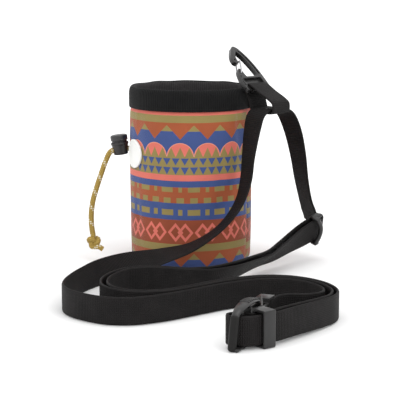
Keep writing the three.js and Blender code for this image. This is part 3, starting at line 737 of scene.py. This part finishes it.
# %% Round patch
put_down()
bpy.ops.mesh.primitive_circle_add(vertices=72, radius=0.0118, fill_type="NGON")
patch = bpy.context.object
patch.name = "round_patch_disc"
bpy.ops.object.mode_set(mode="EDIT")
bpy.ops.mesh.select_all(action="SELECT")
bpy.ops.mesh.extrude_region_move(TRANSFORM_OT_translate={"value": (0, 0, 0.0012)})
for thickness, rise in ((0.0003, 0.0003), (0.0002, 0.0001), (0.0007, 0.0), (0.0002, -0.0001), (0.0003, -0.0003),
                        (0.0006, -0.0001), (0.0028, 0.0), (0.0028, 0.0)):
    bpy.ops.mesh.inset(thickness=thickness)
    bpy.ops.transform.translate(value=(0, 0, rise))
clean(patch)
PATCH_AZIMUTH, PATCH_HEIGHT, PATCH_RADIUS = math.radians(-64), 91, 51.5
for vertex in patch.data.vertices:
    across, up, out = 1000 * vertex.co
    azimuth, height = PATCH_AZIMUTH + across / PATCH_RADIUS, PATCH_HEIGHT + up
    vertex.co = round_the_pouch(PATCH_RADIUS + out + sag(azimuth, height), azimuth, height)
hold(patch)
smooth(40)
hand_over(patch, "round_patch")

# %% [markdown]
# ## Keeper and the buckle's rear half
# These mouldings already have their true shape in the solids, but with knife-sharp edges.
# A copy of each is merged, its flat faces are joined and every edge is rounded,
# because it is the soft highlight along a rounded edge that makes plastic look moulded.

# %% Rounded mouldings
def moulded(node, name, edge, window=None):
    piece = bpy.data.objects.new(name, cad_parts[node].data.copy())
    bpy.context.scene.collection.objects.link(piece)
    hold(piece)
    bpy.ops.object.mode_set(mode="EDIT")
    bpy.ops.mesh.select_all(action="SELECT")
    bpy.ops.mesh.remove_doubles(threshold=2e-6)
    bpy.ops.mesh.dissolve_limited(angle_limit=math.radians(1))
    bpy.ops.object.mode_set(mode="OBJECT")
    if window:
        cut_away(piece, window)
    round_edges(piece, edge, 3, 40)
    weld_slivers(piece)
    smooth(35)
    hand_over(piece, node)
    return piece


keeper = moulded("strap_keeper", "strap_keeper_loop", 0.0008)

# %% [markdown]
# ## Buckle, front half
# The front half is a frame of rods and rails, with an arm that arches up to the grip.
# Each is a block or a rod with generous rounding, made flat in the buckle's own frame and joined before it is laid.
# The arm is a tube that is squeezed flat and thickens towards the grip.

# %% Blocks and rods
BUCKLE_PLACE = Matrix.Translation(BUCKLE_AT / 1000) @ Matrix.Rotation(HEADING, 4, "Z")


def rounded_block(low, high, edge):
    put_down()
    middle = [(a + b) / 2 for a, b in zip(low, high)]
    bpy.ops.mesh.primitive_cube_add(size=1, location=mm(*middle), scale=mm(*(b - a for a, b in zip(low, high))))
    block = bpy.context.object
    bpy.ops.object.transform_apply(location=True, rotation=True, scale=True)
    add_modifier(block, "BEVEL", width=edge / 1000, segments=4)
    return block


def arm(places, thick, radius=1.0):
    # A tube along places (along, across, up) whose section is scaled to the half widths in thick
    sizes = sampled([(a, b, 0) for a, b in thick], 48)
    line = [spot / 1000 for spot in sampled(places, 48)]
    piece, _ = tube("arm", line, radius / 1000, around=20)
    for vertex in piece.data.vertices:
        nearest = min(range(49), key=lambda i: (vertex.co - line[i]).length)
        wide, deep, _ = sizes[nearest]
        off = vertex.co - line[nearest]
        vertex.co = line[nearest] + Vector((off.x, off.y * wide / radius, off.z * deep / radius))
    return piece


def joined(name, parts):
    put_down()
    for part in parts:
        part.select_set(True)
    bpy.context.view_layer.objects.active = parts[0]
    bpy.ops.object.join()
    piece = bpy.context.object
    piece.name = name
    return piece


# %% Buckle front half
parts = [
    rounded_block((9.6, -1.7, 0.6), (13.0, 1.7, 24.4), 1.2), rounded_block((-1.0, -2.8, 0.1), (26.0, 2.8, 2.3), 0.8),
    rounded_block((21.6, -2.6, 0.2), (26.0, 2.6, 24.6), 0.8), rounded_block((25.0, -1.4, 10.8), (44.0, 1.4, 14.2), 0.6),
    rounded_block((25.0, -1.9, 3.3), (46.0, 1.9, 5.8), 0.6), rounded_block((35.6, -2.6, 0.1), (45.8, 2.6, 3.6), 0.8)]
parts.append(arm([(-0.6, 0, 22.4), (2.0, 0, 24.4), (6, 0, 26.0), (12, 0, 27.2), (19, 0, 27.9), (27, 0.2, 27.6),
                  (34, 0.4, 26.5), (39, 0.4, 25.0)],
                 [(2.6, 1.6), (2.9, 1.6), (3.4, 1.7), (4.0, 1.7), (4.3, 1.6), (4.3, 1.6), (4.1, 1.6), (3.4, 1.4)]))
buckle_front = joined("buckle_front_half", parts)
lay(buckle_front, BUCKLE_PLACE)
smooth(40)
hand_over(buckle_front, "buckle_male")

# %% [markdown]
# ## Buckle, front bar
# The strap turns round this bar. It is a block that is rounded until it is nearly a rod, and its lower end is
# pushed a little to one side, because the bar leans. It is matt, and its black is painted a little darker than the
# rest, as painted shade.

# %% Buckle front bar
BAR_TOP, BAR_LEAN = 24.4, 0.0022
front_bar = rounded_block((-2.4, -2.9, 0.1), (2.4, 2.9, BAR_TOP), 2.2)
front_bar.name = "buckle_front_bar"
for vertex in front_bar.data.vertices:
    vertex.co.y += BAR_LEAN * (1 - 1000 * vertex.co.z / BAR_TOP)
lay(front_bar, BUCKLE_PLACE)
smooth(40)
hand_over(front_bar)

# %% [markdown]
# ## Buckle, rear half and rib
# The rear half is open above its tongue: a block is cut out of its top, which leaves a dark window.
# A raised rib curves over it towards the keeper and catches the light as one thin line.

# %% Buckle rear half and rib
window = lay(rounded_block((32.0, -8, 21.3), (50.4, 8, 27.5), 0.3), BUCKLE_PLACE)
buckle_rear = moulded("buckle_female", "buckle_rear_half", 0.0005, window)
buckle_rib = arm([(52, 1.4, 25.0), (47, -0.6, 24.6), (40, -3.4, 23.9), (33, -6.0, 23.9), (27.4, -7.8, 24.8)],
                 [(0.8, 0.6)] * 5, 0.7)
buckle_rib.name = "buckle_rib"
lay(buckle_rib, BUCKLE_PLACE)
hand_over(buckle_rib)

# %% [markdown]
# ## Slider
# The slider keeps the doubled strap together: two cheeks, a rod inside the strap's fold and a bowed bar in front.
# It is made in the strap's own frame, where x runs along the strap, y up its width and z out of its face.

# %% Slider
place, width, face, forward, apart = front[0]
SLIDER_PLACE = Matrix.Translation(place / 1000) @ Matrix((forward, width, face)).transposed().to_4x4()
parts = []
for low, high in ((-12.5, -10.3), (10.3, 12.5)):
    parts.append(rounded_block((3.0, low, -1.6), (12.6, high, 4.6), 1.0))
    parts.append(rounded_block((8.6, low, -5.0), (13.6, high, 1.0), 1.0))
parts.append(arm([(4, -11, 2.5), (4, 0, 2.5), (4, 11, 2.5)], [(1.2, 1.2)] * 3, 1.2))
bow = []
for y in range(-11, 12, 2):
    bowed = 1 - (y / 11.4) ** 2
    bow.append(mm(11.8 - 5.0 * bowed, y, -3.2 - 0.8 * bowed))
bow_bar, _ = tube("bow", bow, 0.0019, around=20)
parts.append(bow_bar)
slider = joined("strap_slider_frame", parts)
lay(slider, SLIDER_PLACE)
smooth(40)
hand_over(slider, "strap_slider")

# %% [markdown]
# ## Grip ridges
# The buckle's upper grip is ribbed for the fingers: six small blocks with rounded edges, set along its arch
# and joined.

# %% Grip ridges
ridges = []
for step in range(6):
    along = 18.0 + 3.1 * step
    top = 29.3 - 0.0085 * max(0, along - 21) ** 2
    ridges.append(rounded_block((along - 0.8, -3.3, top - 1.2), (along + 0.8, 3.5, top + 0.5), 0.45))
grip_ridges = joined("grip_ridges", ridges)
lay(grip_ridges, BUCKLE_PLACE)
smooth(40)
hand_over(grip_ridges)

# %% [markdown]
# ## Sums on a surface
# A procedural material is arithmetic on coordinates: a stripe is a height between two values,
# a triangle is a width that shrinks with height. Each sum is a Math node. The small class below lets
# the sums be written as plain formulas, and every formula becomes nodes that work in any renderer.

# %% A value that changes over a surface
class Field:
    def __init__(self, tree, socket):
        self.tree, self.socket = tree, socket

    def sum(self, how, *others):
        node = self.tree.nodes.new("ShaderNodeMath")
        node.operation = how
        for slot, value in zip(node.inputs, (self,) + others):
            if isinstance(value, Field):
                self.tree.links.new(value.socket, slot)
            else:
                slot.default_value = value
        return Field(self.tree, node.outputs[0])

    def __add__(self, other):
        return self.sum("ADD", other)

    def __sub__(self, other):
        return self.sum("SUBTRACT", other)

    def __mul__(self, other):
        return self.sum("MULTIPLY", other)

    def below(self, other):
        return self.sum("LESS_THAN", other)

    def above(self, other):
        return self.sum("GREATER_THAN", other)

    def between(self, low, high):
        return self.above(low) * self.below(high)

    def near(self, pitch):
        # The distance to the nearest multiple of the pitch
        return self.sum("PINGPONG", pitch / 2)

    def wave(self, pitch):
        return (self * (2 * math.pi / pitch)).sum("SINE")


def ink(red, green, blue):
    def linear(v):
        v /= 255
        return v / 12.92 if v <= 0.04045 else ((v + 0.055) / 1.055) ** 2.4
    return (linear(red), linear(green), linear(blue), 1.0)


# %% Parts that every material shares
def new_material(name, roughness, colour=None):
    material = bpy.data.materials.get(name) or bpy.data.materials.new(name)
    material.use_nodes = True
    tree = material.node_tree
    shader = tree.nodes["Principled BSDF"]
    shader.inputs["Roughness"].default_value = roughness
    if colour:
        shader.inputs["Base Color"].default_value = colour
    return material, tree, shader


def coordinates(tree, kind):
    # Object or UV coordinates as three fields, in millimetres
    where = tree.nodes.new("ShaderNodeTexCoord")
    split = tree.nodes.new("ShaderNodeSeparateXYZ")
    tree.links.new(where.outputs[kind], split.inputs[0])
    return [Field(tree, out) * 1000.0 for out in split.outputs]


def speckle(tree, size, detail):
    where = tree.nodes.new("ShaderNodeTexCoord")
    cloud = tree.nodes.new("ShaderNodeTexNoise")
    cloud.inputs["Scale"].default_value = 1000.0 / size
    cloud.inputs["Detail"].default_value = detail
    tree.links.new(where.outputs["Object"], cloud.inputs["Vector"])
    return Field(tree, cloud.outputs["Fac"])


def mixed(tree, amount, under, over):
    mix = tree.nodes.new("ShaderNodeMix")
    mix.data_type = "RGBA"
    for slot, value in ((mix.inputs[0], amount), (mix.inputs[6], under), (mix.inputs[7], over)):
        if isinstance(value, Field):
            tree.links.new(value.socket, slot)
        elif hasattr(value, "is_output"):
            tree.links.new(value, slot)
        else:
            slot.default_value = value
    return mix.outputs[2]


def raised(tree, shader, height, distance):
    bump = tree.nodes.new("ShaderNodeBump")
    bump.inputs["Distance"].default_value = distance / 1000
    bump.inputs["Strength"].default_value = 1.0
    tree.links.new(height.socket, bump.inputs["Height"])
    tree.links.new(bump.outputs[0], shader.inputs["Normal"])


def paint_all(tree, shader, colour, height, depth):
    # A changing colour, and the relief that goes with it
    tree.links.new(colour, shader.inputs["Base Color"])
    raised(tree, shader, height, depth)


def dress(material, *pieces):
    for piece in pieces:
        piece.data.materials.clear()
        piece.data.materials.append(material)


# %% [markdown]
# ## Printed cloth
# The wall is printed with traditional bands: stripes, rows of small triangles, a row of arches, dashes and
# linked diamonds in rust, olive, blue and coral. All of it is drawn from two numbers, the distance round the wall
# and the height. One repeat of the bands is 105 mm, and the back panel is cut a little lower in the repeat,
# so the bands step at the two side seams.

# %% Where on the print
printed, tree, shader = new_material("printed cloth", 0.78)
x, y, z = coordinates(tree, "Object")
azimuth = x.sum("ARCTAN2", y * -1.0)
front_panel = azimuth.between(SEAMS[1], SEAMS[0])
back_panel = front_panel * -1.0 + 1.0
PITCH = 22.3
facing = azimuth * front_panel + (x * -1.0).sum("ARCTAN2", y) * back_panel
round_wall = facing * WALL_RADIUS - 2.8 + back_panel * 11.75
height = z + back_panel * 4.2
height = height + height.below(14.4) * 104.9
from_hump = round_wall.near(PITCH)
from_arch = (round_wall + PITCH / 2).near(PITCH)
from_third = round_wall.near(PITCH / 3)
from_fir = (round_wall + PITCH / 2).near(PITCH / 3)
beside_arch = (round_wall + PITCH / 2).sum("WRAP", PITCH / 2, -PITCH / 2)

# %% Bands of the print
RUST, OLIVE = ink(158, 82, 50), ink(142, 126, 76)
BLUE, CORAL, EDGE = ink(62, 80, 132), ink(214, 112, 98), ink(222, 150, 122)
# The lowest rust band uses the same rust painted darker, as painted shade near the floor.
SHADED_RUST = ink(142, 70, 46)
colour = RUST


def paint(where, over):
    global colour
    colour = mixed(tree, where, colour, over)


shoulder = (from_hump - 5.05).sum("MAXIMUM", 0.0)
paint(height.between(90.0, 125.0) * (height + shoulder * 1.066).below(112.4), BLUE)
paint(height.above(112.4) * (height + from_hump * 0.99).below(117.4), OLIVE)
rise = height - 92.0
arch = (from_arch * from_arch + rise * rise).sum("SQRT")
paint(arch.below(11.1) * height.above(91.0), EDGE)
paint(arch.below(10.6) * height.above(91.0), CORAL)
paint(arch.below(10.6) * (height + from_fir * 2.1).below(99.4) * height.above(91.0), OLIVE)
paint(height.between(77.2, 92.0), OLIVE)
paint(height.between(85.1, 90.7) * (from_third - (height - 85.1) * 0.59).below(0.0), BLUE)
paint(height.between(77.5, 83.5) * (from_third - (height - 77.5) * 0.55).below(0.0), BLUE)
paint(height.between(72.3, 77.2), CORAL)
paint(height.between(67.2, 72.3), BLUE)
print("bands down to the middle stripe")

# %% Lower bands
paint(height.between(54.1, 67.2), RUST)
paint(height.between(63.1, 67.2) * (from_hump.below(4.9) + from_arch.below(1.5)), OLIVE)
paint(height.between(54.1, 58.5) * round_wall.near(PITCH / 2).below(3.1), OLIVE)
paint(height.between(40.4, 54.1), BLUE)
paint(height.between(44.1, 48.9) * (from_hump.below(5.2) + from_arch.below(1.8)), OLIVE)
paint(height.between(20.3, 40.4), SHADED_RUST)
off_middle = (height - 30.0).sum("ABSOLUTE")
for side in (-4.1, 4.1):
    diamond = (beside_arch - side).sum("ABSOLUTE") * (1 / 6.6) + off_middle * (1 / 7.9)
    paint(height.between(20.3, 40.4) * diamond.between(0.6, 1.0), CORAL)
paint((beside_arch.sum("ABSOLUTE") * 0.5 + off_middle * 0.4).below(1.0), CORAL)
paint(height.between(14.4, 20.3), OLIVE)
paint(height.between(119.3, 125.2), OLIVE)
paint(height.between(125.2, 135.0), CORAL)
print("print has", len(tree.nodes), "nodes")

# %% [markdown]
# A print soaks into the threads, so the colours aren't even: a slow cloud lightens and darkens them,
# and a plain weave of 0.7 mm shows as relief. Towards the floor the cloth is painted darker, as painted shade.
# Loose fibres give it a soft sheen at grazing angles.

# %% Cloth of the print
wash = speckle(tree, 26.0, 3.0)
thread = (azimuth * WALL_RADIUS).wave(0.7) * z.wave(0.7)
# Painted shade: the colour darkens towards the floor.
painted_floor_shade = (z * (1 / 45.0)).sum("MINIMUM", 1.0) * 0.18 - 0.18
shade = (wash - 0.5) * 0.28 + thread * 0.05 + painted_floor_shade + 1.0
tint = tree.nodes.new("ShaderNodeVectorMath")
tint.operation = "SCALE"
tree.links.new(colour, tint.inputs[0])
tree.links.new(shade.socket, tint.inputs["Scale"])
tree.links.new(tint.outputs[0], shader.inputs["Base Color"])
fuzz = speckle(tree, 1.6, 2.0)
raised(tree, shader, thread * 0.5 + fuzz * 0.6, 0.12)
shader.inputs["Specular IOR Level"].default_value = 0.25
shader.inputs["Sheen Weight"].default_value = 0.25
shader.inputs["Sheen Roughness"].default_value = 0.35

lining, tree, shader = new_material("dark lining", 0.85)
shader.inputs["Specular IOR Level"].default_value = 0.1
x, y, z = coordinates(tree, "Object")
weave = (x + y).wave(0.8) * z.wave(0.8)
paint_all(tree, shader, mixed(tree, weave * 0.25 + 0.4, ink(12, 12, 13), ink(24, 24, 25)), weave, 0.1)
wall.data.materials[0] = printed
wall.data.materials[1] = lining
print("wall faces in print:", sum(p.material_index == 0 for p in wall.data.polygons))

# %% [markdown]
# ## Webbing
# Woven nylon: rows of weft make ribs across the strap every 1.5 mm, and the warp threads run along it.
# Both come from the strap's own UV map, so they follow every bend. The edges are a plain, denser band.

# %% Webbing
web, tree, shader = new_material("black webbing", 0.62)
along, across, _ = coordinates(tree, "UV")
warp = across.wave(1.25)
rib = (along + across.wave(2.5) * 0.18).wave(1.5)
border = across.sum("ABSOLUTE").above(8.6)
weave = rib * 0.6 + warp * 0.4 - border * rib * 0.45
dust = speckle(tree, 9.0, 4.0)
tone = (weave * 0.18 + dust * 0.7)
paint_all(tree, shader, mixed(tree, tone, ink(13, 12, 12), ink(38, 35, 35)), weave, 0.22)
shader.inputs["Specular IOR Level"].default_value = 0.14
dress(web, left_arm, right_arm, doubled, hook_tab, loop)
print("webbing on", [p.name for p in (left_arm, right_arm, doubled, hook_tab, loop)])

# %% [markdown]
# ## Collar elastic
# Fine upright ribs, 1.9 mm apart, with a slanted join on the right where the band's ends are sewn together,
# and a row of stitches that holds the fold down near its lower edge. Its inner face is painted lighter, as painted
# light.

# %% Collar elastic
elastic, tree, shader = new_material("ribbed elastic", 0.7)
x, y, z = coordinates(tree, "Object")
azimuth = x.sum("ARCTAN2", y * -1.0)
round_rim = azimuth * 51.7
ribs = round_rim.wave(1.9)
knit = z.wave(1.1) * round_rim.wave(0.95)
join_line = (azimuth - (z - 129.0) * 0.0096 - 1.02).sum("ABSOLUTE")
join_seam = join_line.below(0.012)
stitch = (z - 130.2).sum("ABSOLUTE").below(0.35) * round_rim.near(2.6).below(0.95)
relief = ribs * 0.55 + knit * 0.2 - join_seam * 2.0 + stitch * 1.2
dust = speckle(tree, 7.0, 4.0)
tone = (ribs * 0.22 + dust * 0.6 + stitch * 0.35 - join_seam)
# Painted light: the rim's inner face is painted lighter than its outside.
lit_inner_face = (x * x + y * y).below(47.5 * 47.5)
outside = mixed(tree, tone.sum("MAXIMUM", 0.0), ink(7, 7, 8), ink(27, 27, 27))
inside = mixed(tree, tone.sum("MAXIMUM", 0.0), ink(40, 38, 39), ink(76, 73, 74))
paint_all(tree, shader, mixed(tree, lit_inner_face, outside, inside), relief, 0.3)
shader.inputs["Specular IOR Level"].default_value = 0.14
dress(elastic, collar)

canvas, tree, shader = new_material("dark canvas", 0.8)
x, y, _ = coordinates(tree, "Object")
weave = x.wave(0.9) * y.wave(0.9)
paint_all(tree, shader, mixed(tree, weave * 0.3 + 0.5, ink(18, 18, 18), ink(38, 37, 36)), weave, 0.12)
dress(canvas, base)
print("collar and base dressed")

# %% [markdown]
# ## Braided cord
# Eight strands cross each other round the cord. Two slanted counts, one for each direction of the braid,
# give every strand its number. Most strands are gold; two neighbours in each eight are pale tracers,
# which show as flecks that wind round the cord.

# %% Braided cord
braid, tree, shader = new_material("braided cord", 0.75)
along, around, _ = coordinates(tree, "UV")
STRANDS, CORD_GIRTH, STRAND_PITCH = 8, 14.137, 1.6
left_hand = along * (1 / STRAND_PITCH) + around * (STRANDS / CORD_GIRTH)
right_hand = along * (1 / STRAND_PITCH) - around * (STRANDS / CORD_GIRTH)
left_count = left_hand.sum("FLOOR")
right_count = right_hand.sum("FLOOR")
over = (left_count + right_count).sum("FLOORED_MODULO", 2.0)
tracer = left_count.sum("FLOORED_MODULO", 8.0).below(1.5) * over
swell = left_hand.wave(2.0).sum("ABSOLUTE") * right_hand.wave(2.0).sum("ABSOLUTE")
under = mixed(tree, over, ink(188, 158, 74), ink(172, 142, 62))
flecked = mixed(tree, tracer, under, ink(246, 240, 220))
shaded = mixed(tree, swell * 0.6 + 0.4, ink(112, 90, 38), flecked)
paint_all(tree, shader, shaded, swell, 0.35)
dress(braid, draw_cord, knot)
print("cord dressed")

# %% [markdown]
# ## Plastics, steel and the patch
# The buckle, keeper and slider are black acetal: nearly smooth, with a faint mould grain and pale scuffs.
# The hook is a shinier black, painted slightly paler than the rest as painted highlight.
# The lock is a greyer plastic, and its button is painted paler than the barrel, as painted light on its top. The gate
# is drawn steel wire.
# The patch is soft white rubber with a fine grain.

# %% Moulded plastics
def plastic(name, dark, light, roughness, gloss=0.5):
    material, tree, shader = new_material(name, roughness)
    grain = speckle(tree, 0.5, 2.0)
    cloud = speckle(tree, 8.0, 5.0)
    paint_all(tree, shader, mixed(tree, cloud, dark, light), grain, 0.03)
    rough = (cloud - 0.5) * 0.25 + roughness
    tree.links.new(rough.socket, shader.inputs["Roughness"])
    shader.inputs["Specular IOR Level"].default_value = gloss
    return material


black_plastic = plastic("black plastic", ink(16, 15, 15), ink(34, 33, 33), 0.34)
grey_plastic = plastic("grey plastic", ink(22, 20, 21), ink(36, 33, 35), 0.36)
# Painted light: the button is the lock's grey plastic painted paler, for the light on its top.
lit_button_plastic = plastic("grey plastic painted lit", ink(30, 28, 30), ink(46, 44, 46), 0.34)
dress(black_plastic, buckle_front, buckle_rear, keeper, slider, grip_ridges, buckle_rib)
# Painted shade: the front bar's black is painted darker than the rest.
dress(plastic("matt plastic painted shaded", ink(14, 13, 13), ink(30, 29, 28), 0.5, 0.2), front_bar)
# Painted highlight: the hook's black is painted a little paler.
dress(plastic("polished plastic", ink(20, 19, 19), ink(40, 39, 39), 0.25, 0.6), hook)
dress(grey_plastic, barrel)
dress(lit_button_plastic, button)

# %% Steel and rubber
steel, tree, shader = new_material("drawn steel", 0.28)
shader.inputs["Metallic"].default_value = 1.0
along, around, _ = coordinates(tree, "UV")
lines = around.wave(0.22) * 0.5 + speckle(tree, 1.2, 3.0)
paint_all(tree, shader, mixed(tree, lines, ink(138, 138, 140), ink(196, 196, 198)), lines, 0.01)
dress(steel, gate)

rubber, tree, shader = new_material("white rubber", 0.55)
grain = speckle(tree, 0.7, 2.0)
soil = speckle(tree, 12.0, 4.0)
paint_all(tree, shader, mixed(tree, soil, ink(244, 244, 242), ink(228, 228, 224)), grain, 0.04)
dress(rubber, patch)
print("materials:", len(bpy.data.materials))

# %% [markdown]
# ## Floor and light
# The photograph is a plain studio shot: a white floor that runs out to white, and soft light from all round.
# A bright sky gives the even light, and three large lamps add the gentle shading and the soft shadow on the floor.
# The floor also glows more the farther it is from the pouch: painted light that leaves a painted soft shadow round it.

# %% Floor
put_down()
bpy.ops.mesh.primitive_plane_add(size=60, location=(0, 0, -0.0003))
floor = bpy.context.object
floor.name = "studio_floor"
paper, tree, shader = new_material("white paper", 0.9, (0.88, 0.88, 0.88, 1.0))
x, y, _ = coordinates(tree, "Object")
# Painted light: the floor glows more away from the pouch, which leaves a painted soft shadow near it.
away = (x * x + (y + 120.0) * (y + 120.0)).sum("SQRT")
painted_floor_glow = ((away - 200.0) * (1 / 500.0)).sum("MAXIMUM", 0.0).sum("MINIMUM", 1.0)
shader.inputs["Emission Color"].default_value = (1.0, 1.0, 1.0, 1.0)
tree.links.new((painted_floor_glow * 0.3).socket, shader.inputs["Emission Strength"])
dress(paper, floor)

# %% Light
world = bpy.data.worlds.new("studio")
bpy.context.scene.world = world
world.use_nodes = True
sky = world.node_tree.nodes["Background"]
sky.inputs[0].default_value = (1.0, 1.0, 1.0, 1.0)
sky.inputs[1].default_value = 1.0
bpy.context.scene.view_settings.view_transform = "Standard"


AIM = Vector((0, -0.08, 0.06))


def lamp(name, place, size, power):
    put_down()
    bpy.ops.object.light_add(type="AREA", location=place)
    light = bpy.context.object
    light.name = name
    light.data.size = size
    light.data.energy = power
    light.rotation_euler = (AIM - Vector(place)).to_track_quat("-Z", "Y").to_euler()


lamp("top_lamp", (0.15, -0.2, 1.6), 1.2, 8)
lamp("key_lamp", (0.9, -1.2, 1.1), 1.0, 7)
lamp("fill_lamp", (-1.1, -0.8, 0.8), 1.0, 3)
